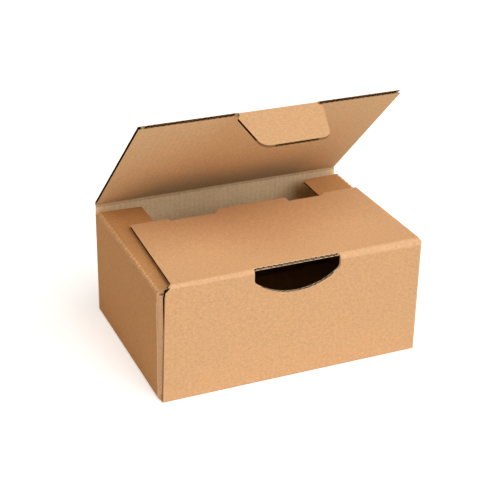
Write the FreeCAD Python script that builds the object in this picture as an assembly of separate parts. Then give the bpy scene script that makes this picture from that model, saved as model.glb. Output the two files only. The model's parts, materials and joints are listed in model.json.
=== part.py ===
import FreeCAD, Part
import math
import os

# Folded one-piece mailer of E-flute corrugated board: a glued four-wall sleeve with a crash-lock
# bottom, two side dust flaps, a front flap lying back over them, a hinged lid and its tuck tab.
# Frame: +Z up, +X to the right, the front panel faces -Y; the origin is the centre of the base.
# Lengths are millimetres and angles are degrees.

# Board
board = 1.8
liner = 0.24
medium = 0.2
flute_pitch = 3.2
flute_tip = 0.6
flute_depth = 4.0
flute_edge_margin = 0.5
groove_depth = 1.4

# Box
box_width = 160.0
box_depth = 115.0
side_fold_height = 69.0
front_fold_height = 73.0
corner_radius = 2.0
base_fold_radius = 1.6
side_fold_radius = 2.2
side_fold_inner_radius = 0.4
front_fold_radius_left = 2.0
front_fold_radius_right = 4.2
fold_crease = 0.06

# Glued corner at the front left
glue_flap_width = 26.0
glue_corner_radius = 4.5
front_edge_gap_low = 1.2
front_edge_gap_high = 3.4

# Side dust flaps
dust_flap_length = 26.5
dust_flap_rise = 1.0
dust_front_gap = 0.8
dust_rear_gap = 4.6
dust_rear_taper = 3.2

# Front flap, lying back over the dust flaps
flap_drop = 1.2
flap_reach = 80.5
flap_recess = 3.2
flap_tab_extra = 2.2
flap_left_inset = 7.6
flap_left_taper = 3.4
flap_right_inset = 1.0
flap_right_taper = 0.6
flap_recess_left = 34.5
flap_tab_left = 15.0
flap_tab_right = 31.0
flap_recess_right = 25.5
flap_step_slant = 3.0
corner_cut_left = 4.2
corner_cut_right = 1.4
corner_cut_right_drop = 1.6
corner_cut_start = 0.2

# Half-moon finger hole under the front fold
hole_centre = 1.5
hole_width = 52.5
hole_depth = 17.7
hole_arc_radius = 40.0
hole_corner_radius = 4.0
hole_setback = 2.9
hole_flute_margin = 3.0

# Crash-lock bottom
bottom_seam = 0.6
bottom_hook = 9.0
bottom_hook_slant = 12.0
bottom_edge_gap = 1.0
side_bottom_reach = 50.0
side_bottom_bend = 20.0
side_bottom_slant = 30.0
side_bottom_gap = 0.8
lock_tongue_gap = 1.0
lock_tongue_width = 34.0

# Lid and tuck tab
hinge_height = 72.6
hinge_gap = 0.3
lid_side_gap = 0.5
lid_left_taper = 0.5
lid_right_taper = 3.0
lid_length = 114.5
lid_root_length = 2.5
lid_rest_angle = 44.0
lid_open_angle = 180.0
lid_closed_gap = 0.3
tab_root_width = 47.0
tab_shoulder_width = 50.5
tab_end_width = 40.0
tab_length = 27.0
tab_shoulder_start = 1.5
tab_shoulder_end = 3.5
tab_corner_radius = 6.0
tab_rest_fold = 65.0
tab_tucked_fold = 110.0
tab_side_gap = 0.4
tab_crease_gap = 0.6

# Modelling: how far cutters run past what they cut, and how deep joined solids run into each other
spill = 1.0
shared_depth = 5.0

# Worked out from the sizes above
half_width = box_width / 2
half_depth = box_depth / 2
front_face = -half_depth
back_face = half_depth
front_inside = front_face + board
glue_inside = front_inside + board
back_inside = back_face - board
sleeve_top = side_fold_height - side_fold_radius
upper_start = sleeve_top - shared_depth
clear_height = front_fold_height + shared_depth
lid_width = box_width - 2 * lid_side_gap
hinge_y = back_face - board / 2
back_top = hinge_height - board / 2 - hinge_gap
flap_raw_edge = front_face + hole_setback
flap_rear = front_face + flap_reach + flap_tab_extra
flap_left = (-half_width + flap_left_inset, -half_width + flap_left_inset + flap_left_taper)
flap_right = (half_width - flap_right_inset, half_width - flap_right_inset - flap_right_taper)
hole_bottom = front_fold_height - hole_depth
hole_arc_top = hole_bottom + hole_arc_radius
dust_flap_front = glue_inside + dust_front_gap
dust_flap_rear = back_inside - dust_rear_gap
tab_axis_reach = lid_length - board / 2
lid_closed_angle = math.degrees(math.atan2(
    front_fold_height + lid_closed_gap + board / 2 - hinge_height, hinge_y - flap_raw_edge))
lid_travel = (lid_closed_angle - lid_rest_angle, lid_open_angle - lid_rest_angle)
tab_travel = (-tab_rest_fold, tab_tucked_fold - tab_rest_fold)

X_AXIS = FreeCAD.Vector(1, 0, 0)
Y_AXIS = FreeCAD.Vector(0, 1, 0)
Z_AXIS = FreeCAD.Vector(0, 0, 1)


def in_plan(z):
    """Place for outlines drawn in X and Y."""
    return lambda u, v: FreeCAD.Vector(u, v, z)


def in_side_view(x):
    """Place for outlines drawn in Y and Z."""
    return lambda u, v: FreeCAD.Vector(x, u, v)


def in_front_view(y):
    """Place for outlines drawn in X and Z."""
    return lambda u, v: FreeCAD.Vector(u, y, v)


def rounded_wire(corners, place):
    """Closed wire through (u, v) or (u, v, radius) corners, the latter rounded."""
    points = [place(corner[0], corner[1]) for corner in corners]
    radii = [corner[2] if len(corner) > 2 else 0 for corner in corners]
    count = len(points)
    edges = []
    ends = []
    for i in range(count):
        here = points[i]
        if radii[i] == 0:
            ends.append((here, here))
            continue
        back = (points[i - 1] - here).normalize()
        ahead = (points[(i + 1) % count] - here).normalize()
        half_angle = back.getAngle(ahead) / 2
        run = radii[i] / math.tan(half_angle)
        middle = (back + ahead).normalize() * (radii[i] / math.sin(half_angle) - radii[i])
        start, end = here + back * run, here + ahead * run
        edges.append(Part.Arc(start, here + middle, end).toShape())
        ends.append((start, end))
    for i in range(count):
        start, end = ends[i][1], ends[(i + 1) % count][0]
        if start.distanceToPoint(end) > 1e-6:
            edges.append(Part.LineSegment(start, end).toShape())
    return Part.Wire(Part.__sortEdges__(edges))


def prism(corners, place, direction):
    """Solid between the outline and the same outline moved by direction."""
    return Part.Face(rounded_wire(corners, place)).extrude(direction)


def block(low, high):
    """Box between two corner points."""
    size = [high[i] - low[i] for i in range(3)]
    return Part.makeBox(size[0], size[1], size[2], FreeCAD.Vector(*low))


def front_panel_left(z):
    """X of the front panel's raw left edge, which leans in a little towards the top."""
    share = z / side_fold_height
    gap = front_edge_gap_low + (front_edge_gap_high - front_edge_gap_low) * share
    return -half_width + gap


def sleeve():
    """Four walls and the glue flap, up to the side folds."""
    left = front_panel_left(0)
    corner_start = front_inside + glue_corner_radius
    walls = prism([
        (left, front_face),
        (half_width, front_face, corner_radius),
        (half_width, back_face, corner_radius),
        (-half_width, back_face, corner_radius),
        (-half_width, corner_start),
        (-half_width + board, corner_start),
        (-half_width + board, back_inside),
        (half_width - board, back_inside),
        (half_width - board, front_inside),
        (left, front_inside),
    ], in_plan(0), Z_AXIS * sleeve_top)
    glue_end = -half_width + glue_flap_width
    glue_flap = prism([
        (-half_width, corner_start),
        (-half_width, front_inside, glue_corner_radius),
        (glue_end, front_inside),
        (glue_end, glue_inside),
        (-half_width + board, glue_inside, glue_corner_radius - board),
        (-half_width + board, corner_start),
    ], in_plan(0), Z_AXIS * sleeve_top)
    return walls.fuse(glue_flap).cut(glue_corner_groove())


def flap_top(y):
    """Height of the front flap's upper face, which falls slightly to the rear."""
    return front_fold_height - flap_drop * (y - front_face) / flap_reach


def flap_rear_line():
    """Stepped rear edge of the front flap from left to right."""
    outer = front_face + flap_reach
    recess = outer - flap_recess
    tab = outer + flap_tab_extra
    slant = flap_step_slant / 2
    return [
        (-half_width, outer),
        (flap_recess_left - half_width, outer),
        (flap_recess_left - half_width, recess),
        (-flap_tab_left - slant, recess),
        (-flap_tab_left + slant, tab),
        (flap_tab_right, tab),
        (flap_tab_right, recess),
        (half_width - flap_recess_right - slant, recess),
        (half_width - flap_recess_right + slant, outer),
        (half_width, outer),
    ]


def front_panel_top():
    """Upper front panel, its crushed fold and the front flap."""
    rear = flap_rear
    low = upper_start
    folded = prism([
        (front_face, low),
        (front_face, front_fold_height),
        (rear, flap_top(rear)),
        (rear, flap_top(rear) - board),
        (front_inside, flap_top(front_inside) - board),
        (front_inside, low),
    ], in_side_view(-half_width), X_AXIS * box_width)
    behind = flap_rear_line() + [(half_width, rear + spill), (-half_width, rear + spill)]
    folded = folded.cut(prism(behind, in_plan(low), Z_AXIS * (clear_height - low)))
    return folded.cut(front_fold_waste()).cut(flap_side_waste())


def front_fold_waste():
    """What rounds the front fold, tighter at its left end than at its right."""
    ends = [fold_outline(front_fold_place(-half_width - spill), front_fold_radius_left),
            fold_outline(front_fold_place(half_width + spill), front_fold_radius_right)]
    return Part.makeLoft(ends, True, True)


def front_fold_place(x):
    """Place measured back over the flap and down the front panel from the front fold at x."""
    return lambda u, v: FreeCAD.Vector(x, front_face + u, flap_top(front_face + u) - v)


def flap_side_waste():
    """What the die cuts away left and right of the front flap and at the fold's two ends."""
    outside = half_width + spill
    rear = flap_rear + spill
    left_front, left_rear = flap_left
    right_front, right_rear = flap_right
    level = side_fold_height + corner_cut_start
    panel_left = front_panel_left(side_fold_height)
    ahead = front_face - spill
    through = Y_AXIS * (rear - ahead)
    upwards = Z_AXIS * (clear_height - level)
    left_end = prism([
        (-outside, 0), (front_panel_left(0), 0), (panel_left, level),
        (left_front, level + corner_cut_left), (left_front, clear_height), (-outside, clear_height),
    ], in_front_view(ahead), through)
    right_level = front_fold_height - corner_cut_right_drop
    right_end = prism([
        (half_width, right_level), (half_width - corner_cut_right, front_fold_height),
        (half_width - corner_cut_right, clear_height), (outside, clear_height), (outside, right_level),
    ], in_front_view(ahead), Y_AXIS * (flap_raw_edge - ahead))
    left_side = prism([
        (left_front, flap_raw_edge), (left_rear, rear), (-outside, rear), (-outside, flap_raw_edge),
    ], in_plan(level), upwards)
    right_side = prism([
        (right_front, flap_raw_edge), (right_rear, rear), (outside, rear), (outside, flap_raw_edge),
    ], in_plan(level), upwards)
    return left_end.fuse([right_end, left_side, right_side])


def dust_flap(side):
    """Side fold and dust flap, on the left for side -1 and on the right for side 1."""
    wall = side * half_width
    inner = side * (half_width - board)
    tip = side * (half_width - dust_flap_length)
    low = upper_start
    front, rear = dust_flap_front, dust_flap_rear
    tip_top = side_fold_height + dust_flap_rise
    folded = prism([
        (wall, low),
        (wall, side_fold_height, side_fold_radius),
        (tip, tip_top),
        (tip, tip_top - board),
        (inner, side_fold_height - board, side_fold_inner_radius),
        (inner, low),
    ], in_front_view(front), Y_AXIS * (rear - front))
    past_tip = tip - side * spill
    waste = prism([
        (inner, rear), (past_tip, rear - dust_rear_taper), (past_tip, rear + spill), (inner, rear + spill),
    ], in_plan(low), Z_AXIS * (clear_height - low))
    return folded.cut(waste)


def back_panel_top():
    """Back panel above the side folds, up to the crease of the lid."""
    return block((-lid_width / 2, back_inside, upper_start), (lid_width / 2, back_face, back_top))


def finger_hole():
    """Half-moon through the front panel: its chord on the front fold, a wide arc and two corners."""
    half, small = hole_width / 2, hole_corner_radius
    share = (half - small) / (hole_arc_radius - small)
    fall = math.sqrt(1 - share ** 2)
    corner_z = hole_arc_top - fall * (hole_arc_radius - small)
    place = in_front_view(front_face - spill)

    def point(side, x, z):
        return place(hole_centre + side * x, z)

    edges = [
        Part.Arc(point(-1, share * hole_arc_radius, hole_arc_top - fall * hole_arc_radius),
                 point(0, 0, hole_bottom),
                 point(1, share * hole_arc_radius, hole_arc_top - fall * hole_arc_radius)).toShape(),
        Part.LineSegment(point(-1, half, clear_height), point(1, half, clear_height)).toShape(),
    ]
    for side in (-1, 1):
        middle_angle = (math.asin(share) + math.pi / 2) / 2
        middle = point(side, half - small + small * math.sin(middle_angle),
                       corner_z - small * math.cos(middle_angle))
        low = point(side, share * hole_arc_radius, hole_arc_top - fall * hole_arc_radius)
        high = point(side, half, corner_z)
        edges.append(Part.Arc(low, middle, high).toShape())
        edges.append(Part.LineSegment(high, point(side, half, clear_height)).toShape())
    outline = Part.Wire(Part.__sortEdges__(edges))
    return Part.Face(outline).extrude(Y_AXIS * (flap_raw_edge - front_face + spill))


def hole_arc_height(x):
    """Height of the finger hole's wide arc at x."""
    return hole_arc_top - math.sqrt(hole_arc_radius ** 2 - (x - hole_centre) ** 2)


def crash_lock_bottom():
    """Two long flaps hooked along the middle, with the side flaps glued on top of them."""
    edge = half_width - bottom_edge_gap
    near, slant = bottom_hook, bottom_hook_slant
    gap = bottom_seam / 2
    front_flap = prism([
        (-edge, front_face), (edge, front_face), (edge, -near - gap), (slant, -near - gap),
        (-slant, near - gap), (-edge, near - gap),
    ], in_plan(0), Z_AXIS * board)
    back_flap = prism([
        (-edge, back_face), (edge, back_face), (edge, -near + gap), (slant, -near + gap),
        (-slant, near + gap), (-edge, near + gap),
    ], in_plan(0), Z_AXIS * board)
    tongue_half = half_width - side_bottom_reach - lock_tongue_gap
    tongue = block((-tongue_half, -lock_tongue_width / 2, board),
                   (tongue_half, lock_tongue_width / 2, 2 * board))
    return [front_flap, back_flap, tongue, side_bottom_flap(-1), side_bottom_flap(1)]


def side_bottom_flap(side):
    """Side bottom flap with its slanted glue edges, on top of the long flaps."""
    wall = side * (half_width - board / 2)
    tip = side * (half_width - side_bottom_reach)
    bend = side * (half_width - side_bottom_bend)
    reach = half_depth - board - side_bottom_gap
    near = reach - side_bottom_slant
    return prism([
        (wall, -reach), (bend, -reach), (tip, -near), (tip, near), (bend, reach), (wall, reach),
    ], in_plan(board), Z_AXIS * board)


def fold_outline(place, radius):
    """Outline of what rounds a fold; place measures both ways into the board from its corner.

    The arc starts a hair outside the faces, which leaves the faint crease at each end of a fold.
    """
    middle = radius - radius * math.sqrt(0.5)
    loop = [place(radius, -fold_crease), place(radius, -spill), place(-spill, -spill),
            place(-spill, radius), place(-fold_crease, radius)]
    edges = [Part.LineSegment(a, b).toShape() for a, b in zip(loop, loop[1:])]
    edges.append(Part.Arc(loop[-1], place(middle, middle), loop[0]).toShape())
    return Part.Wire(edges)


def base_fold_cutter(place, along):
    """What rounds one outer bottom fold; place measures inwards and upwards from its corner."""
    return Part.Face(fold_outline(place, base_fold_radius)).extrude(along)


def base_fold_cutters():
    """Cutters for the four outer bottom folds."""
    x, y = half_width + spill, half_depth + spill
    return [
        base_fold_cutter(lambda u, v: FreeCAD.Vector(-x, front_face + u, v), X_AXIS * (2 * x)),
        base_fold_cutter(lambda u, v: FreeCAD.Vector(-x, back_face - u, v), X_AXIS * (2 * x)),
        base_fold_cutter(lambda u, v: FreeCAD.Vector(-half_width + u, -y, v), Y_AXIS * (2 * y)),
        base_fold_cutter(lambda u, v: FreeCAD.Vector(half_width - u, -y, v), Y_AXIS * (2 * y)),
    ]


def flute_pockets(along, out, up, start, end, edge_at):
    """Open flute ends in a raw edge that crosses the flutes.

    along, out and up are unit vectors; edge_at(u) is the middle of the edge at u along it.
    """
    core = board / 2 - liner
    run = flute_pitch / 2 - flute_tip
    steepness = math.atan2(2 * core, run)
    wall_half = medium / 2 / math.sin(steepness)
    wide = flute_pitch / 2 - flute_tip / 2 - wall_half
    narrow = flute_tip / 2 + run * medium / (2 * core) - wall_half
    count = int((end - start) / flute_pitch)
    first = (start + end) / 2 - count * flute_pitch / 2 + flute_pitch / 4
    pockets = []
    for i in range(2 * count):
        u = first + i * flute_pitch / 2
        turn = 1 if i % 2 else -1
        middle = edge_at(u)
        loop = [(-wide, core), (wide, core), (narrow, medium - core), (-narrow, medium - core)]
        corners = [middle + along * a + up * (turn * b) - out * flute_depth for a, b in loop]
        wire = Part.makePolygon(corners + corners[:1])
        pockets.append(Part.Face(wire).extrude(out * (flute_depth + spill)))
    return Part.makeCompound(pockets)


def edge_groove(start, end, inward, up):
    """Hollow between the liners along a raw edge that runs with the flutes."""
    core = board / 2 - liner
    outer, inner = inward * -spill, inward * groove_depth
    corners = [start + outer, end + outer, end + inner, start + inner]
    wire = Part.makePolygon([corner - up * core for corner in corners + corners[:1]])
    return Part.Face(wire).extrude(up * (2 * core))


def front_flap_edges():
    """Open flutes at the front flap's hole and rear edges, and hollows along its two sides."""
    up = FreeCAD.Vector(0, flap_drop, flap_reach).normalize()
    rearward = X_AXIS.cross(up) * -1

    def middle(x, y):
        return FreeCAD.Vector(x, y, flap_top(y)) - up * (board / 2)

    half = hole_width / 2 - flute_edge_margin
    cutters = [flute_pockets(X_AXIS, rearward * -1, up, hole_centre - half, hole_centre + half,
                             lambda x: middle(x, flap_raw_edge))]
    side_margin = groove_depth + flute_edge_margin
    line = flap_rear_line()
    for (start, y), (end, next_y) in zip(line, line[1:]):
        if y != next_y:
            continue
        start = max(start + flute_edge_margin, flap_left[1] + side_margin)
        end = min(end - flute_edge_margin, flap_right[1] - side_margin)
        cutters.append(flute_pockets(X_AXIS, rearward, up, start, end, lambda x, at=y: middle(x, at)))
    for (front_x, rear_x), inward in ((flap_left, X_AXIS), (flap_right, X_AXIS * -1)):
        front_y = flap_raw_edge + flute_edge_margin
        cutters.append(edge_groove(middle(front_x, front_y), middle(rear_x, flap_rear), inward, up))
    return cutters


def dust_flap_edges(side):
    """Open flutes at a dust flap's tip, and hollows along its front and rear edges."""
    up = FreeCAD.Vector(side * dust_flap_rise, 0, dust_flap_length).normalize()
    outward = Y_AXIS.cross(up) * -side
    tip = FreeCAD.Vector(side * (half_width - dust_flap_length), 0, side_fold_height + dust_flap_rise)
    tip -= up * (board / 2)
    root = tip - outward * (dust_flap_length - side_fold_radius - board)
    margin = groove_depth + flute_edge_margin
    rear_at_tip = dust_flap_rear - dust_rear_taper
    return [
        flute_pockets(Y_AXIS, outward, up, dust_flap_front + margin, rear_at_tip - margin,
                      lambda y: tip + Y_AXIS * y),
        edge_groove(root + Y_AXIS * dust_flap_front, tip + Y_AXIS * dust_flap_front, Y_AXIS, up),
        edge_groove(root + Y_AXIS * dust_flap_rear, tip + Y_AXIS * rear_at_tip, Y_AXIS * -1, up),
    ]


def front_panel_edges():
    """Open flutes along the finger hole's arc, and the hollow along the glued joint's raw edge."""
    middle_y = front_face + board / 2
    half = hole_width / 2 - hole_flute_margin
    start = FreeCAD.Vector(front_panel_left(0), middle_y, base_fold_radius)
    end = FreeCAD.Vector(front_panel_left(sleeve_top), middle_y, sleeve_top)
    return [
        flute_pockets(X_AXIS, Z_AXIS, Y_AXIS, hole_centre - half, hole_centre + half,
                      lambda x: FreeCAD.Vector(x, middle_y, hole_arc_height(x))),
        edge_groove(start, end, X_AXIS, Y_AXIS),
    ]


def glue_corner_groove():
    """Hollow between the liners along the top of the glue flap and its bend."""
    left, near = -half_width + liner, front_inside + liner
    inner_left, far = -half_width + board - liner, glue_inside - liner
    radius, inner_radius = glue_corner_radius - liner, glue_corner_radius - board + liner
    start = front_inside + glue_corner_radius + flute_edge_margin
    end = -half_width + glue_flap_width + spill
    return prism([
        (left, start), (left, near, radius), (end, near),
        (end, far), (inner_left, far, inner_radius), (inner_left, start),
    ], in_plan(sleeve_top - groove_depth), Z_AXIS * (groove_depth + spill))


def box_body():
    """The folded sheet without its lid."""
    envelope = prism([
        (-half_width, front_face),
        (half_width, front_face, corner_radius),
        (half_width, back_face, corner_radius),
        (-half_width, back_face, corner_radius),
    ], in_plan(0), Z_AXIS * clear_height)
    upper = front_panel_top().fuse([dust_flap(-1), dust_flap(1), back_panel_top()])
    body = sleeve().fuse(crash_lock_bottom()).cut(panel_edge_waste())
    body = body.fuse(upper.common(envelope))
    body = body.cut([finger_hole()] + base_fold_cutters()).removeSplitter()
    for cutter in front_flap_edges() + front_panel_edges() + dust_flap_edges(-1) + dust_flap_edges(1):
        body = body.cut(cutter)
    return body


def panel_edge_waste():
    """Sliver that makes the front panel's glued edge lean in towards the top."""
    return prism([
        (-half_width - spill, 0), (front_panel_left(0), 0),
        (front_panel_left(sleeve_top), sleeve_top), (-half_width - spill, sleeve_top),
    ], in_front_view(front_face - spill), Y_AXIS * (board + spill))


def hinge_turn(shape, angle):
    """Turn a shape about the lid's crease."""
    shape.rotate(FreeCAD.Vector(0, hinge_y, hinge_height), X_AXIS, -angle)
    return shape


def lid_point(x, reach, height=0.0):
    """Point of the flat lid: reach is the distance from its crease."""
    return FreeCAD.Vector(x, hinge_y - reach, hinge_height + height)


def lid():
    """Tapered lid panel with a rounded root at its crease and a notch for the tuck tab."""
    half = lid_width / 2
    left, right = -half + lid_left_taper, half - lid_right_taper
    notch = tab_root_width / 2 + tab_side_gap
    notch_reach = tab_axis_reach - board / 2 - tab_crease_gap
    low = hinge_height - board / 2
    panel = prism([
        (-half, hinge_y), (half, hinge_y), (right, hinge_y - lid_length),
        (hole_centre + notch, hinge_y - lid_length), (hole_centre + notch, hinge_y - notch_reach),
        (hole_centre - notch, hinge_y - notch_reach), (hole_centre - notch, hinge_y - lid_length),
        (left, hinge_y - lid_length),
    ], in_plan(low), Z_AXIS * board)
    root = Part.makeCylinder(board / 2, lid_width, FreeCAD.Vector(-half, hinge_y, hinge_height), X_AXIS)
    solid = panel.fuse(root).removeSplitter()
    margin = flute_edge_margin
    side_margin = groove_depth + margin
    for start, end in ((left + side_margin, hole_centre - notch - margin),
                       (hole_centre + notch + margin, right - side_margin)):
        solid = solid.cut(flute_pockets(X_AXIS, -Y_AXIS, Z_AXIS, start, end,
                                        lambda u: lid_point(u, lid_length)))
    for root_x, free_x, inward in ((-half, left, X_AXIS), (half, right, X_AXIS * -1)):
        root_x += (free_x - root_x) * lid_root_length / lid_length
        solid = solid.cut(edge_groove(lid_point(root_x, lid_root_length), lid_point(free_x, lid_length),
                                      inward, Z_AXIS))
    return hinge_turn(solid, lid_rest_angle)


def tuck_tab():
    """Tuck tab: narrow root, shoulders, tapered sides and rounded corners."""
    root, shoulder, end = tab_root_width / 2, tab_shoulder_width / 2, tab_end_width / 2
    c, axis_y = hole_centre, hinge_y - tab_axis_reach
    low = hinge_height - board / 2
    panel = prism([
        (c - root, axis_y), (c + root, axis_y),
        (c + root, axis_y - tab_shoulder_start), (c + shoulder, axis_y - tab_shoulder_end),
        (c + end, axis_y - tab_length, tab_corner_radius),
        (c - end, axis_y - tab_length, tab_corner_radius),
        (c - shoulder, axis_y - tab_shoulder_end), (c - root, axis_y - tab_shoulder_start),
    ], in_plan(low), Z_AXIS * board)
    knuckle = Part.makeCylinder(board / 2, tab_root_width,
                                FreeCAD.Vector(c - root, axis_y, hinge_height), X_AXIS)
    solid = panel.fuse(knuckle).removeSplitter()
    straight = end - tab_corner_radius
    solid = solid.cut(flute_pockets(X_AXIS, -Y_AXIS, Z_AXIS, c - straight, c + straight,
                                    lambda u: lid_point(u, tab_axis_reach + tab_length)))
    for side in (-1, 1):
        start = lid_point(c + side * shoulder, tab_axis_reach + tab_shoulder_end)
        corner = lid_point(c + side * end, tab_axis_reach + tab_length)
        stop = corner + (start - corner).normalize() * tab_corner_radius
        solid = solid.cut(edge_groove(start, stop, X_AXIS * -side, Z_AXIS))
    solid.rotate(FreeCAD.Vector(0, axis_y, hinge_height), X_AXIS, tab_rest_fold)
    return hinge_turn(solid, lid_rest_angle)


def main():
    """Write one file for each piece."""
    os.makedirs("parts", exist_ok=True)
    pieces = {"box_body": box_body(), "lid": lid(), "tuck_tab": tuck_tab()}
    for name, shape in pieces.items():
        solids = shape.Solids
        bounds = shape.BoundBox
        print(name, "solids", len(solids), "valid", shape.isValid(), "faces", len(shape.Faces),
              "volume", round(shape.Volume, 1), [round(v, 2) for v in (
                  bounds.XMin, bounds.XMax, bounds.YMin, bounds.YMax, bounds.ZMin, bounds.ZMax)])
        piece = solids[0] if len(solids) == 1 else shape
        piece.exportStep("parts/" + name + ".step")
    print("lid travel from rest", [round(angle, 3) for angle in lid_travel])
    print("tuck tab travel from rest", [round(angle, 3) for angle in tab_travel])


main()
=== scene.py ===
import json
import math

import bmesh
import bpy
from bpy.props import FloatProperty, FloatVectorProperty, PointerProperty
from mathutils import Matrix, Vector
from mathutils.bvhtree import BVHTree


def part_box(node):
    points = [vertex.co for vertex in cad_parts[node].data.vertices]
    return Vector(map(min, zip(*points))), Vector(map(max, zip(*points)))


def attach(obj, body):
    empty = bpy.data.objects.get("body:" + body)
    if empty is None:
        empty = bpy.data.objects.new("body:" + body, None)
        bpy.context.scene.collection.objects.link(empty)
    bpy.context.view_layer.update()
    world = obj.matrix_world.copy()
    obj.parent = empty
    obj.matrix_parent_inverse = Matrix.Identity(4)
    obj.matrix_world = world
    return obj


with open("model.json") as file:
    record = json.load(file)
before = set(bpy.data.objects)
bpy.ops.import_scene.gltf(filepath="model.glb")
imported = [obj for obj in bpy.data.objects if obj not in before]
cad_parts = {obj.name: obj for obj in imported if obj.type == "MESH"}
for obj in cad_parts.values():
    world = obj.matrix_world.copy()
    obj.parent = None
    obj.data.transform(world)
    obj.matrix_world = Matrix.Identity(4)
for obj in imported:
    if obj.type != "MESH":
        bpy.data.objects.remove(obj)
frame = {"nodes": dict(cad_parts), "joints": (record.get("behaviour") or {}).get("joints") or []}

bl_info = {
    "name": "Corrugated Mailer Box",
    "version": (1, 0, 0),
    "blender": (4, 5, 0),
    "location": "View3D > Sidebar > Mailer Box",
    "description": "Finishes a folded mailer box of brown corrugated board",
    "category": "Object",
}

MM = 0.001
BODY_LOW, BODY_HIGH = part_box("box_body")

# The lid's plane runs from its own crease to the tab's, and the tab is folded in from that plane
HINGES = {joint["name"]: Vector(joint["pos_m"]) for joint in frame["joints"]}
LID_AXIS = HINGES["lid_crease"]
TAB_AXIS = HINGES["tuck_tab_crease"]
LID_REACH = Vector((0, TAB_AXIS.y - LID_AXIS.y, TAB_AXIS.z - LID_AXIS.z))
LID_ALONG = LID_REACH.normalized()
LID_OUTWARD = Vector((0, LID_ALONG.z, -LID_ALONG.y))
TAB_FOLD = math.radians(65)
TAB_OUTWARD = LID_OUTWARD * math.cos(TAB_FOLD) + LID_ALONG * math.sin(TAB_FOLD)

# How strongly each pattern of the paper shows, and its size in mm
GRAIN, FIBRES, CLOUDS, RELIEF = 0.52, 0.42, 0.12, 0.05
GRAIN_SIZE, FIBRE_SIZE, CLOUD_SIZE, FLECK_SPACING = 1.3, 0.8, 9, 1.2
FIBRE_STRETCH = 0.35
PALE_FLECK, DARK_FLECK = 0.12, -0.18

# Inside the box, heights in mm: the deep part is darkened as painted shade, the upper part is made
# paler as painted light, and near the top the scored line of the lid's crease is darkened as painted
# shade
PAINTED_SHADE_LIGHT, PAINTED_SHADE_FROM, PAINTED_SHADE_TO = 0.2, 18, 42
PAINTED_LIGHT_FROM, PAINTED_LIGHT_TO = 42, 50
SCORE_SHADE_LIGHT, SCORE_HEIGHT, SCORE_CORE, SCORE_EDGE = 0.7, 70.8, 0.2, 0.6

# Name, direction from the box to the lamp, colour, strength and spread in degrees
LAMPS = (
    ("key_light", (0.30, -0.78, 0.55), "#FFFFFF", 0.86, 40),
    ("right_light", (0.85, -0.35, 0.40), "#FFFFFF", 1.0, 50),
    ("top_light", (0.0, -0.42, 1.0), "#FFFFFF", 1.52, 50),
    ("left_light", (-0.8, -0.4, 0.45), "#FFC078", 0.25, 60),
)
SKY_LIGHT = 0.14
FLOOR_GLOW = 0.45


def linear(code):
    """Linear colour of an sRGB hex code."""
    parts = [int(code[i:i + 2], 16) / 255 for i in (1, 3, 5)]
    return [p / 12.92 if p <= 0.04045 else ((p + 0.055) / 1.055) ** 2.4 for p in parts]


class MailerSizes(bpy.types.PropertyGroup):
    """Real sizes of the board and its folds."""
    board: FloatProperty(
        name="Board", description="Thickness of the corrugated board",
        default=1.8 * MM, unit="LENGTH", precision=5)
    flute_pitch: FloatProperty(
        name="Flute pitch", description="Distance from one flute to the next",
        default=3.2 * MM, unit="LENGTH", precision=5)
    side_fold_height: FloatProperty(
        name="Side fold height", description="Height of the folds of the side dust flaps",
        default=69 * MM, unit="LENGTH", precision=5)
    side_fold_radius: FloatProperty(
        name="Side fold radius", description="Outer radius of the folds of the side dust flaps",
        default=2.2 * MM, unit="LENGTH", precision=5)
    flap_slope: FloatProperty(
        name="Flap slope", description="Fall of the front flap towards the rear",
        default=math.atan(1.2 / 80.5), unit="ROTATION")
    dust_flap_slope: FloatProperty(
        name="Dust flap slope", description="Rise of the side dust flaps towards their tips",
        default=math.atan(1.0 / 26.5), unit="ROTATION")


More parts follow.
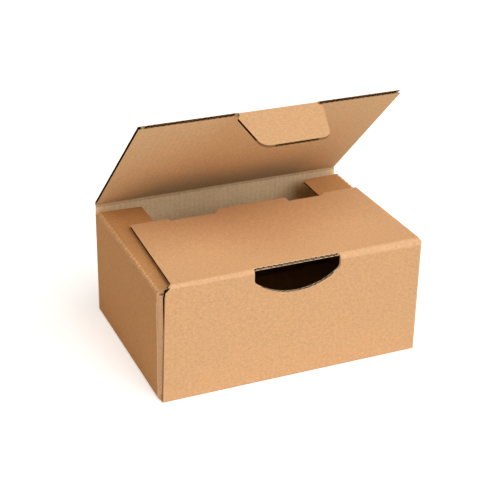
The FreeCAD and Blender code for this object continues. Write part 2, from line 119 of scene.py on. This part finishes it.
class MailerColours(bpy.types.PropertyGroup):
    """Colours of the papers, of the floor and of the weak light from all round."""
    outer_liner: FloatVectorProperty(
        name="Outer liner", description="Brown kraft paper outside",
        default=linear("#DCAF84"), subtype="COLOR", size=3, min=0, max=1)
    outer_liner_warm: FloatVectorProperty(
        name="Outer liner, warm", description="Redder clouds in the outer paper",
        default=linear("#D6A877"), subtype="COLOR", size=3, min=0, max=1)
    # The paper of the two sides is darker and warmer than the outer liner: painted shade of the sides
    shaded_side_liner: FloatVectorProperty(
        name="Side liner", description="Outer paper of the two sides, seen across its fibres",
        default=linear("#D49F68"), subtype="COLOR", size=3, min=0, max=1)
    shaded_side_clouds: FloatVectorProperty(
        name="Side liner, warm", description="Redder clouds in the paper of the sides",
        default=linear("#CD955C"), subtype="COLOR", size=3, min=0, max=1)
    # Darker paper for the dust flaps: painted shade under the lid and the front flap
    shaded_dust_liner: FloatVectorProperty(
        name="Dust flap liner", description="Outer paper of the dust flaps, duller under the lid",
        default=linear("#C7935E"), subtype="COLOR", size=3, min=0, max=1)
    sky: FloatVectorProperty(
        name="Sky", description="Warm weak light from all round",
        default=linear("#FFE7BF"), subtype="COLOR", size=3, min=0, max=1)
    inner_liner: FloatVectorProperty(
        name="Inner liner", description="Duller paper inside",
        default=linear("#E5C092"), subtype="COLOR", size=3, min=0, max=1)
    inner_liner_warm: FloatVectorProperty(
        name="Inner liner, warm", description="Redder clouds in the inner paper",
        default=linear("#DCB284"), subtype="COLOR", size=3, min=0, max=1)
    crease: FloatVectorProperty(
        name="Crease", description="Paper stretched pale over a crushed fold",
        default=linear("#E2B68D"), subtype="COLOR", size=3, min=0, max=1)
    # Paler paper colour for the upper part inside the box: painted light
    painted_light_liner: FloatVectorProperty(
        name="Worn liner", description="Rubbed paler paper near the upper edge inside",
        default=linear("#FBDCB0"), subtype="COLOR", size=3, min=0, max=1)
    cut_edge: FloatVectorProperty(
        name="Cut edge", description="Cut ends of the three papers",
        default=linear("#F0D2AC"), subtype="COLOR", size=3, min=0, max=1)
    # Darker cut ends for the lid and the tab
    darker_lid_edge: FloatVectorProperty(
        name="Handled edge", description="Cut ends of the papers on the lid and the tab, duller",
        default=linear("#9A7852"), subtype="COLOR", size=3, min=0, max=1)
    # Near black for the walls inside the flutes and for the glue gap: painted shade
    hollow: FloatVectorProperty(
        name="Flute hollow", description="Walls inside the flutes",
        default=linear("#150C06"), subtype="COLOR", size=3, min=0, max=1)
    floor: FloatVectorProperty(
        name="Floor", description="Plain white floor",
        default=linear("#F4F4F4"), subtype="COLOR", size=3, min=0, max=1)


def add_node(tree, kind, inputs, **settings):
    """Add a node with its own settings; inputs gives each socket a value or a link."""
    node = tree.nodes.new(kind)
    for name, value in settings.items():
        setattr(node, name, value)
    for key, value in inputs.items():
        if isinstance(value, bpy.types.NodeSocket):
            tree.links.new(value, node.inputs[key])
        else:
            node.inputs[key].default_value = value
    return node


def new_material(name):
    """Empty node material."""
    material = bpy.data.materials.new(name)
    material.use_nodes = True
    material.node_tree.nodes.clear()
    return material


def kraft_paper(name, paper, warm, across, ripple, pale=None):
    """Kraft liner, a matt brown paper of long fibres laid across the flutes.

    The eye sees a fine sandy grain with dark and pale flecks, short streaks of fibres, hardly any
    clouds, and the flutes as a faint washboard. Grain and flecks are drawn about three times too
    coarse, so that they show. across is the axis that crosses the flutes and ripple says how much of
    the flutes shows. With a pale colour it is the paper inside the box, made paler near the top as
    painted light, with the scored line of the lid's crease darkened as painted shade, and darker
    towards the bottom as painted shade.
    """
    material = new_material(name)
    tree = material.node_tree
    place = add_node(tree, "ShaderNodeTexCoord", {}).outputs["Object"]
    in_mm = add_node(tree, "ShaderNodeVectorMath", {0: place, "Scale": 1 / MM},
                     operation="SCALE").outputs[0]
    laid = [FIBRE_STRETCH if axis == across else 1 for axis in "XYZ"]
    along_fibres = add_node(tree, "ShaderNodeVectorMath", {0: in_mm, 1: laid},
                            operation="MULTIPLY").outputs[0]

    clouds = add_node(tree, "ShaderNodeTexNoise", {
        "Vector": in_mm, "Scale": 1 / CLOUD_SIZE, "Detail": 2}).outputs[0]
    grain = add_node(tree, "ShaderNodeTexNoise", {
        "Vector": in_mm, "Scale": 1 / GRAIN_SIZE, "Detail": 3, "Roughness": 0.75}).outputs[0]
    fibres = add_node(tree, "ShaderNodeTexNoise", {
        "Vector": along_fibres, "Scale": 1 / FIBRE_SIZE, "Detail": 3, "Roughness": 0.7}).outputs[0]
    cells = add_node(tree, "ShaderNodeTexVoronoi", {"Vector": in_mm, "Scale": 1 / FLECK_SPACING})
    picked = add_node(tree, "ShaderNodeSeparateColor", {"Color": cells.outputs["Color"]})
    fleck = add_node(tree, "ShaderNodeMapRange", {
        "Value": cells.outputs["Distance"], "From Min": 0.1, "From Max": 0.32,
        "To Min": 1, "To Max": 0}).outputs[0]
    tone = add_node(tree, "ShaderNodeMapRange", {
        "Value": picked.outputs[0], "From Min": 0.1, "From Max": 0.9,
        "To Min": PALE_FLECK, "To Max": DARK_FLECK}).outputs[0]
    flecks = add_node(tree, "ShaderNodeMath", {0: fleck, 1: tone}, operation="MULTIPLY").outputs[0]

    parts = add_node(tree, "ShaderNodeSeparateXYZ", {"Vector": in_mm})
    pitch = bpy.context.scene.mailer_sizes.flute_pitch / MM
    turn = add_node(tree, "ShaderNodeMath", {0: parts.outputs[across], 1: 2 * math.pi / pitch},
                    operation="MULTIPLY").outputs[0]
    wave = add_node(tree, "ShaderNodeMath", {0: turn}, operation="SINE").outputs[0]

    shades = ((grain, GRAIN), (fibres, FIBRES), (clouds, CLOUDS))
    light = 1 - (GRAIN + FIBRES + CLOUDS) / 2
    for pattern, strength in (*shades, (flecks, 1), (wave, ripple)):
        light = add_node(tree, "ShaderNodeMath", {0: pattern, 1: strength, 2: light},
                         operation="MULTIPLY_ADD").outputs[0]

    base = add_node(tree, "ShaderNodeMix", {0: clouds, 6: (*paper, 1), 7: (*warm, 1)},
                    data_type="RGBA").outputs[2]
    if pale is not None:
        # Paler towards the top inside the box: painted light
        painted_light = add_node(tree, "ShaderNodeMapRange", {
            "Value": parts.outputs["Z"], "From Min": PAINTED_LIGHT_FROM, "From Max": PAINTED_LIGHT_TO}).outputs[0]
        base = add_node(tree, "ShaderNodeMix", {0: painted_light, 6: base, 7: (*pale, 1)},
                        data_type="RGBA").outputs[2]
        # Darker towards the bottom inside the box: painted shade
        painted_shade = add_node(tree, "ShaderNodeMapRange", {
            "Value": parts.outputs["Z"], "From Min": PAINTED_SHADE_FROM, "From Max": PAINTED_SHADE_TO,
            "To Min": PAINTED_SHADE_LIGHT, "To Max": 1}).outputs[0]
        light = add_node(tree, "ShaderNodeMath", {0: light, 1: painted_shade},
                         operation="MULTIPLY").outputs[0]
        # Darker along the scored line of the lid's crease: painted shade
        away = add_node(tree, "ShaderNodeMath", {0: parts.outputs["Z"], 1: SCORE_HEIGHT},
                        operation="SUBTRACT").outputs[0]
        away = add_node(tree, "ShaderNodeMath", {0: away}, operation="ABSOLUTE").outputs[0]
        score_shade = add_node(tree, "ShaderNodeMapRange", {
            "Value": away, "From Min": SCORE_CORE, "From Max": SCORE_EDGE,
            "To Min": SCORE_SHADE_LIGHT, "To Max": 1}).outputs[0]
        light = add_node(tree, "ShaderNodeMath", {0: light, 1: score_shade},
                         operation="MULTIPLY").outputs[0]
    colour = add_node(tree, "ShaderNodeVectorMath", {0: base, "Scale": light},
                      operation="SCALE").outputs[0]

    relief = add_node(tree, "ShaderNodeMath", {0: fibres, 1: RELIEF},
                      operation="MULTIPLY").outputs[0]
    relief = add_node(tree, "ShaderNodeMath", {0: wave, 1: ripple, 2: relief},
                      operation="MULTIPLY_ADD").outputs[0]
    bump = add_node(tree, "ShaderNodeBump", {"Height": relief, "Distance": MM, "Strength": 1.0})
    shader = add_node(tree, "ShaderNodeBsdfPrincipled", {
        "Base Color": colour, "Normal": bump.outputs[0], "Roughness": 0.85,
        "Specular IOR Level": 0.3})
    add_node(tree, "ShaderNodeOutputMaterial", {"Surface": shader.outputs[0]})
    return material


def cut_board(name, paper):
    """Die-cut end of the board: soft torn fibres, so dull and uneven, and near black as painted shade
    in the flutes.
    """
    material = new_material(name)
    tree = material.node_tree
    place = add_node(tree, "ShaderNodeTexCoord", {}).outputs["Object"]
    in_mm = add_node(tree, "ShaderNodeVectorMath", {0: place, "Scale": 1 / MM},
                     operation="SCALE").outputs[0]
    tear_size = 0.4
    torn = add_node(tree, "ShaderNodeTexNoise", {
        "Vector": in_mm, "Scale": 1 / tear_size, "Detail": 4}).outputs[0]
    light = add_node(tree, "ShaderNodeMapRange", {
        "Value": torn, "From Min": 0.3, "From Max": 0.7, "To Min": 0.75, "To Max": 1.2}).outputs[0]
    colour = add_node(tree, "ShaderNodeVectorMath", {0: paper, "Scale": light},
                      operation="SCALE").outputs[0]
    bump = add_node(tree, "ShaderNodeBump", {"Height": torn, "Distance": 0.08 * MM})
    shader = add_node(tree, "ShaderNodeBsdfPrincipled", {
        "Base Color": colour, "Normal": bump.outputs[0], "Roughness": 1.0,
        "Specular IOR Level": 0.0})
    add_node(tree, "ShaderNodeOutputMaterial", {"Surface": shader.outputs[0]})
    return material


def paper_materials():
    """All papers, made once and found by name after that."""
    if "kraft_outer_liner_X" in bpy.data.materials:
        return {material.name: material for material in bpy.data.materials}
    colours = bpy.context.scene.mailer_colours
    inner = colours.inner_liner, colours.inner_liner_warm
    # Name, two colours, axis across the flutes, strength of the flutes and the paler colour near the
    # top inside, painted light
    papers = [
        ("outer_liner_X", colours.outer_liner, colours.outer_liner_warm, "X", 0.005),
        # The sides' paper carries painted shade
        ("outer_liner_Y", colours.shaded_side_liner, colours.shaded_side_clouds, "Y", 0.005),
        # The dust flaps' darker paper is painted shade
        ("dust_flap_liner_Y", colours.shaded_dust_liner, colours.shaded_dust_liner, "Y", 0.005),
        # The side folds mix the outer liner with the sides' colour of painted shade
        ("side_fold", colours.outer_liner, colours.shaded_side_liner, "Y", 0.07),
        ("crease_X", colours.crease, colours.outer_liner, "X", 0.005),
    ]
    for across in "XY":
        papers.append(("inner_liner_" + across, *inner, across, 0.012))
        # Inside the box the paper is paler near the top as painted light and darker lower down as
        # painted shade
        papers.append(("inside_liner_" + across, *inner, across, 0.02, colours.painted_light_liner))
    made = [kraft_paper("kraft_" + name, *looks) for name, *looks in papers]
    made.append(cut_board("board_cut_edge", colours.cut_edge))
    made.append(cut_board("board_handled_edge", colours.darker_lid_edge))
    made.append(cut_board("board_flute_hollow", colours.hollow))
    return {material.name: material for material in made}


class BoardPanel:
    """One flat panel of the folded board: its middle plane, outer side, place and two liners."""

    def __init__(self, point, outward, across, low, high, back="inner", front="outer"):
        self.point, self.outward, self.across = Vector(point), Vector(outward).normalized(), across
        self.low, self.high = Vector(low), Vector(high)
        self.front, self.back = front, back

    def holds(self, place):
        """Whether a point lies in the panel's region."""
        return all(self.low[i] <= place[i] <= self.high[i] for i in range(3))

    def liner_at(self, place, normal, board):
        """Name of the liner that a face belongs to, or None where the board was cut."""
        flat, slack = 0.97, 0.06 * MM
        facing = normal.dot(self.outward)
        height = (place - self.point).dot(self.outward)
        if abs(facing) < flat or abs(abs(height) - board / 2) > slack:
            return None
        side = self.front if facing > 0 else self.back
        return "kraft_" + side + "_liner_" + self.across


def body_panels():
    """Panels of the box body, flaps first."""
    sizes = bpy.context.scene.mailer_sizes
    half = sizes.board / 2
    low, high = BODY_LOW, BODY_HIGH
    fold, far = sizes.side_fold_height, 1.0
    slack = 0.05 * MM
    glue_flap_end = low.x + 27 * MM
    fold_depth = 3 * MM
    everywhere_low, everywhere_high = (-far, -far, -far), (far, far, far)
    top = high.z
    flap_tilt = Vector((0, math.sin(sizes.flap_slope), math.cos(sizes.flap_slope)))
    panels = [
        BoardPanel(Vector((0, low.y, top)) - flap_tilt * half, flap_tilt, "X",
                   (low.x, low.y, top - fold_depth), everywhere_high),
    ]
    for side, edge in ((-1, low.x), (1, high.x)):
        tilt = Vector((side * math.sin(sizes.dust_flap_slope), 0, math.cos(sizes.dust_flap_slope)))
        # The dust flaps' outer paper takes their colour of painted shade
        panels.append(BoardPanel(
            Vector((edge, 0, fold)) - tilt * half, tilt, "Y",
            (-far, -far, fold - fold_depth), everywhere_high, front="dust_flap"))
    walls = [
        ((0, low.y + half, 0), (0, -1, 0), "X", everywhere_high),
        ((0, low.y + 3 * half, 0), (0, -1, 0), "X", (glue_flap_end, far, fold - slack)),
        ((0, high.y - half, 0), (0, 1, 0), "X", everywhere_high),
        ((low.x + half, 0, 0), (-1, 0, 0), "Y", everywhere_high),
        ((high.x - half, 0, 0), (1, 0, 0), "Y", everywhere_high),
        ((0, 0, half), (0, 0, -1), "X", everywhere_high),
        ((0, 0, 3 * half), (0, 0, -1), "Y", everywhere_high),
    ]
    for point, outward, across, limit in walls:
        panels.append(BoardPanel(point, outward, across, everywhere_low, limit, "inside"))
    return panels


def in_glue_gap(place, normal):
    """Whether a face lies in the gap beside the front panel's glued raw edge, which is painted dark as
    shade.

    The raw edge faces left. Behind it the glue flap's bend ends, facing almost forwards, and over
    both ends the front fold, which faces left as well.
    """
    sizes = bpy.context.scene.mailer_sizes
    liner, reach = 0.3 * MM, 6 * MM
    right, back = place.x - BODY_LOW.x, place.y - BODY_LOW.y
    if right > reach or back > reach or place.z < sizes.board:
        return False
    raw_edge = normal.x < -0.9 and liner < back < sizes.board
    bend_end = normal.y < -0.9 and -0.35 < normal.x < -0.02 and back > sizes.board
    fold_end = normal.x < -0.5 and place.z > sizes.side_fold_height and back > liner
    return raw_edge or bend_end or fold_end


def body_fold(place, normal):
    """Name of the finish where the paper bends, or None where the board was cut.

    Near the bottom and the top a face belongs to a bend when it leans at all, and an upright one
    when it lies near an upright corner of the box.
    """
    sizes = bpy.context.scene.mailer_sizes
    reach, lean = 5 * MM, 0.02
    near_x = min(place.x - BODY_LOW.x, BODY_HIGH.x - place.x)
    near_y = min(place.y - BODY_LOW.y, BODY_HIGH.y - place.y)
    # Faces in the glue gap get painted shade
    if in_glue_gap(place, normal):
        return "board_flute_hollow"
    if place.z < reach and normal.z < -lean and min(near_x, near_y) < reach:
        return "kraft_outer_liner_X"
    if place.z > sizes.side_fold_height - reach and normal.z > lean:
        if normal.y < -lean and place.y - BODY_LOW.y < reach and abs(normal.x) < 0.4:
            return "kraft_crease_X"
        sideways = abs(normal.x) > lean and abs(normal.y) < 0.1
        if sideways and near_x < reach and place.z < sizes.side_fold_height:
            return "kraft_outer_liner_Y"
        if place.y > BODY_HIGH.y - sizes.board:
            return "kraft_crease_X"
    if abs(normal.z) < lean and near_x < reach and near_y < reach:
        at_glue_flap = place.x < 0 and place.y < 0
        return "kraft_crease_X" if at_glue_flap else "kraft_outer_liner_X"
    return None


def in_hollow(mesh, place, normal, panels, board):
    """Whether a cut face lies between the liners, with one over it and one under it."""
    off_the_face = 0.04 * MM
    point = place + normal * off_the_face
    for panel in panels:
        if abs((place - panel.point).dot(panel.outward)) < board / 2:
            ways = (panel.outward, -panel.outward)
            return all(mesh.ray_cast(point, way, board)[0] is not None for way in ways)
    return False


def finish_faces(node, panels, fold_finish, cut):
    """Give each face of a CAD node the paper that it shows; cut names the look of its raw edges."""
    board = bpy.context.scene.mailer_sizes.board
    materials = paper_materials()
    mesh = node.data
    solid = BVHTree.FromPolygons([vert.co for vert in mesh.vertices],
                                 [face.vertices for face in mesh.polygons])
    mesh.materials.clear()
    slots = {}
    chosen = []
    for face in mesh.polygons:
        place, normal = face.center, face.normal
        name = None
        held = [panel for panel in panels if panel.holds(place)]
        for panel in held:
            name = name or panel.liner_at(place, normal, board)
        name = name or fold_finish(place, normal)
        if name is None:
            hollow = in_hollow(solid, place, normal, held, board)
            # A cut face between the two liners gets painted shade
            name = "board_flute_hollow" if hollow else cut
        if name not in slots:
            slots[name] = len(slots)
            mesh.materials.append(materials[name])
        chosen.append(slots[name])
    mesh.polygons.foreach_set("material_index", chosen)
    mesh.update()


def knuckle_fold(axis, outward):
    """Finish for the rounded root of a panel that turns about an axis."""
    knuckle_reach = 1.0 * MM

    def finish(place, normal):
        away = place - axis
        away.x = 0
        if away.length > knuckle_reach or abs(normal.x) > 0.5:
            return None
        return "kraft_crease_X" if normal.dot(outward) > 0 else "kraft_inner_liner_X"
    return finish


def prism(name, outline, start, end):
    """Closed bar along X with an outline of (y, z) points."""
    mesh = bmesh.new()
    corners = [mesh.verts.new((start, y, z)) for y, z in outline]
    face = mesh.faces.new(corners)
    grown = bmesh.ops.extrude_face_region(mesh, geom=[face])["geom"]
    moved = [item for item in grown if isinstance(item, bmesh.types.BMVert)]
    bmesh.ops.translate(mesh, verts=moved, vec=(end - start, 0, 0))
    bmesh.ops.recalc_face_normals(mesh, faces=mesh.faces)
    data = bpy.data.meshes.new(name)
    mesh.to_mesh(data)
    mesh.free()
    piece = bpy.data.objects.new(name, data)
    bpy.context.scene.collection.objects.link(piece)
    return piece


class MAILER_OT_box_body(bpy.types.Operator):
    """Paper the folded box body"""
    bl_idname = "mailer.box_body"
    bl_label = "Box Body"

    def execute(self, context):
        finish_faces(frame["nodes"]["box_body"], body_panels(), body_fold, "board_cut_edge")
        return {"FINISHED"}


class MAILER_OT_lid(bpy.types.Operator):
    """Paper the lid and its tuck tab"""
    bl_idname = "mailer.lid"
    bl_label = "Lid and Tuck Tab"

    def execute(self, context):
        everywhere = (-1, -1, -1), (1, 1, 1)
        lid = [BoardPanel(LID_AXIS, LID_OUTWARD, "X", *everywhere)]
        tab = [BoardPanel(TAB_AXIS, TAB_OUTWARD, "X", *everywhere)]
        cut = "board_handled_edge"
        finish_faces(frame["nodes"]["lid"], lid, knuckle_fold(LID_AXIS, LID_OUTWARD), cut)
        finish_faces(frame["nodes"]["tuck_tab"], tab, knuckle_fold(TAB_AXIS, TAB_OUTWARD), cut)
        return {"FINISHED"}


class MAILER_OT_creases(bpy.types.Operator):
    """Close the two creases that the lid and the tuck tab bend at"""
    bl_idname = "mailer.creases"
    bl_label = "Creases"

    def execute(self, context):
        self.lid_crease()
        self.tab_crease()
        return {"FINISHED"}

    def lid_crease(self):
        """Crushed board between the back panel and the lid's rounded root."""
        low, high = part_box("lid")
        recess = 0.04 * MM
        board = bpy.context.scene.mailer_sizes.board
        back, front = BODY_HIGH.y - recess, BODY_HIGH.y - board + recess
        bottom, top = LID_AXIS.z - 1.4 * MM, LID_AXIS.z - 0.5 * MM
        outline = [(front, bottom), (back, bottom), (back, top), (front, top)]
        piece = prism("lid_crease", outline, low.x + recess, high.x - recess)
        piece.data.materials.append(paper_materials()["kraft_crease_X"])
        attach(piece, "box")

    def tab_crease(self):
        """Crushed board in the lid's notch, hollow so that the tab's root turns free of it."""
        low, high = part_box("tuck_tab")
        half = 0.47 * (high.x - low.x)
        middle = (low.x + high.x) / 2
        # Distances in mm from the tab's axis, along the lid and out of it
        section = [(-1.5, -0.7), (-1.3, -0.7), (-0.98, 0.1), (-0.88, 0.33), (-0.72, 0.6),
                   (-0.5, 0.79), (-1.5, 0.82)]
        outline = []
        for reach, height in section:
            place = TAB_AXIS + LID_ALONG * (reach * MM) + LID_OUTWARD * (height * MM)
            outline.append((place.y, place.z))
        piece = prism("tuck_tab_crease", outline, middle - half, middle + half)
        piece.data.materials.append(paper_materials()["kraft_crease_X"])
        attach(piece, "lid")


class MAILER_OT_side_folds(bpy.types.Operator):
    """Let the flutes show as ripples along the two side folds"""
    bl_idname = "mailer.side_folds"
    bl_label = "Side Folds"

    def execute(self, context):
        for name, side in (("side_fold_left", -1), ("side_fold_right", 1)):
            self.rippled_fold(name, side)
        return {"FINISHED"}

    def rippled_fold(self, name, side):
        """Thin paper bent round the fold, bulging a little over each flute."""
        sizes = bpy.context.scene.mailer_sizes
        radius, pitch = sizes.side_fold_radius, sizes.flute_pitch
        front, rear = BODY_LOW.y + 4.2 * MM, BODY_HIGH.y - 6.4 * MM
        bulge, fine, broad, beat = 0.42, 0.10, 0.30, 1.4
        steps_round, steps_along = 8, 280
        skin, paper = 0.02 * MM, 0.15 * MM
        centre = Vector((side * (BODY_HIGH.x - radius), 0, sizes.side_fold_height - radius))
        mesh = bmesh.new()
        bmesh.ops.create_grid(mesh, x_segments=steps_round, y_segments=steps_along, size=0.5)
        for vert in mesh.verts:
            turn = (vert.co.x + 0.5) * math.pi / 2
            along = front + (vert.co.y + 0.5) * (rear - front)
            wave = 2 * math.pi * along / pitch
            ripple = fine * math.sin(wave) + broad * math.sin(wave / beat)
            swell = math.sin(2 * turn) ** 2 * (bulge + ripple) * MM
            out = Vector((side * math.cos(turn), 0, math.sin(turn)))
            vert.co = centre + out * (radius + skin + swell)
            vert.co.x = max(BODY_LOW.x, min(BODY_HIGH.x, vert.co.x))
            vert.co.y = along
        bmesh.ops.recalc_face_normals(mesh, faces=mesh.faces)
        if sum(face.normal.z for face in mesh.faces) < 0:
            bmesh.ops.reverse_faces(mesh, faces=mesh.faces)
        bmesh.ops.solidify(mesh, geom=mesh.faces, thickness=paper)
        data = bpy.data.meshes.new(name)
        mesh.to_mesh(data)
        mesh.free()
        for face in data.polygons:
            face.use_smooth = True
        piece = bpy.data.objects.new(name, data)
        bpy.context.scene.collection.objects.link(piece)
        piece.data.materials.append(paper_materials()["kraft_side_fold"])
        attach(piece, "box")


class MAILER_OT_stage(bpy.types.Operator):
    """Set up the floor, the light and the camera"""
    bl_idname = "mailer.stage"
    bl_label = "Stage"

    def execute(self, context):
        self.floor(context)
        self.sky(context)
        for lamp in LAMPS:
            self.lamp(context, *lamp)
        self.camera(context)
        context.scene.view_settings.view_transform = "Standard"
        return {"FINISHED"}

    def seen(self, tree):
        """1 where the camera sees a thing, straight or by a mirror or glass, and 0 where it lights."""
        rays = add_node(tree, "ShaderNodeLightPath", {}).outputs
        seen = add_node(tree, "ShaderNodeMath", {0: rays["Is Camera Ray"], 1: rays["Is Glossy Ray"]},
                        operation="MAXIMUM").outputs[0]
        return add_node(tree, "ShaderNodeMath", {0: seen, 1: rays["Is Transmission Ray"]},
                        operation="MAXIMUM").outputs[0]

    def floor(self, context):
        """White floor that keeps the shadow and is drawn brighter than it lights."""
        reach, gap = 6, 0.02 * MM
        mesh = bmesh.new()
        bmesh.ops.create_grid(mesh, x_segments=1, y_segments=1, size=reach)
        data = bpy.data.meshes.new("floor")
        mesh.to_mesh(data)
        mesh.free()
        floor = bpy.data.objects.new("floor", data)
        context.scene.collection.objects.link(floor)
        floor.location.z = BODY_LOW.z - gap
        material = new_material("white_studio_floor")
        tree = material.node_tree
        seen = self.seen(tree)
        glow = add_node(tree, "ShaderNodeMath", {0: seen, 1: FLOOR_GLOW},
                        operation="MULTIPLY").outputs[0]
        matt = add_node(tree, "ShaderNodeBsdfDiffuse", {
            "Color": (*context.scene.mailer_colours.floor, 1)})
        shine = add_node(tree, "ShaderNodeEmission", {"Color": (1, 1, 1, 1), "Strength": glow})
        both = add_node(tree, "ShaderNodeAddShader", {0: matt.outputs[0], 1: shine.outputs[0]})
        add_node(tree, "ShaderNodeOutputMaterial", {"Surface": both.outputs[0]})
        data.materials.append(material)

    def sky(self, context):
        """White where it is seen, and softer where it lights."""
        world = bpy.data.worlds.new("studio")
        world.use_nodes = True
        tree = world.node_tree
        tree.nodes.clear()
        seen = self.seen(tree)
        strength = add_node(tree, "ShaderNodeMapRange", {
            "Value": seen, "To Min": SKY_LIGHT, "To Max": 1}).outputs[0]
        tint = add_node(tree, "ShaderNodeMix", {
            0: seen, 6: (*context.scene.mailer_colours.sky, 1), 7: (1, 1, 1, 1)},
            data_type="RGBA").outputs[2]
        back = add_node(tree, "ShaderNodeBackground", {"Color": tint, "Strength": strength})
        add_node(tree, "ShaderNodeOutputWorld", {"Surface": back.outputs[0]})
        context.scene.world = world

    def lamp(self, context, name, towards, tint, strength, spread):
        """Far soft lamp; towards points from the box to it."""
        light = bpy.data.lights.new(name, "SUN")
        light.color = linear(tint)
        light.energy = strength
        light.angle = math.radians(spread)
        lamp = bpy.data.objects.new(name, light)
        lamp.rotation_mode = "QUATERNION"
        lamp.rotation_quaternion = Vector(towards).to_track_quat("Z", "Y")
        context.scene.collection.objects.link(lamp)

    def camera(self, context):
        """The photograph's view, from the front left and above."""
        data = bpy.data.cameras.new("camera")
        data.sensor_width = 36
        data.lens = 96.73
        data.clip_start, data.clip_end = 0.05, 20
        camera = bpy.data.objects.new("camera", data)
        place = Vector((-286.29, -647.00, 417.47)) * MM
        target = Vector((-2.76, 0, 54.09)) * MM
        roll = 0.0184
        turn = (target - place).to_track_quat("-Z", "Y").to_matrix() @ Matrix.Rotation(roll, 3, "Z")
        camera.matrix_world = Matrix.Translation(place) @ turn.to_4x4()
        context.scene.collection.objects.link(camera)
        context.scene.camera = camera


OPERATORS = (
    MAILER_OT_box_body,
    MAILER_OT_lid,
    MAILER_OT_creases,
    MAILER_OT_side_folds,
    MAILER_OT_stage,
)


class MAILER_PT_panel(bpy.types.Panel):
    """Lists the steps of the mailer box"""
    bl_idname = "MAILER_PT_panel"
    bl_label = "Mailer Box"
    bl_space_type = "VIEW_3D"
    bl_region_type = "UI"
    bl_category = "Mailer Box"

    def draw(self, context):
        layout = self.layout
        for group in (context.scene.mailer_sizes, context.scene.mailer_colours):
            box = layout.box()
            for name in group.__annotations__:
                box.prop(group, name)
        for operator in OPERATORS:
            layout.operator(operator.bl_idname)


CLASSES = (MailerSizes, MailerColours, *OPERATORS, MAILER_PT_panel)


def register():
    for item in CLASSES:
        bpy.utils.register_class(item)
    bpy.types.Scene.mailer_sizes = PointerProperty(type=MailerSizes)
    bpy.types.Scene.mailer_colours = PointerProperty(type=MailerColours)


def unregister():
    del bpy.types.Scene.mailer_colours
    del bpy.types.Scene.mailer_sizes
    for item in reversed(CLASSES):
        bpy.utils.unregister_class(item)


def main():
    """Run the steps in order."""
    register()
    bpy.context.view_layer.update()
    for operator in OPERATORS:
        group, name = operator.bl_idname.split(".")
        getattr(getattr(bpy.ops, group), name)()


if __name__ == "__main__":
    main()
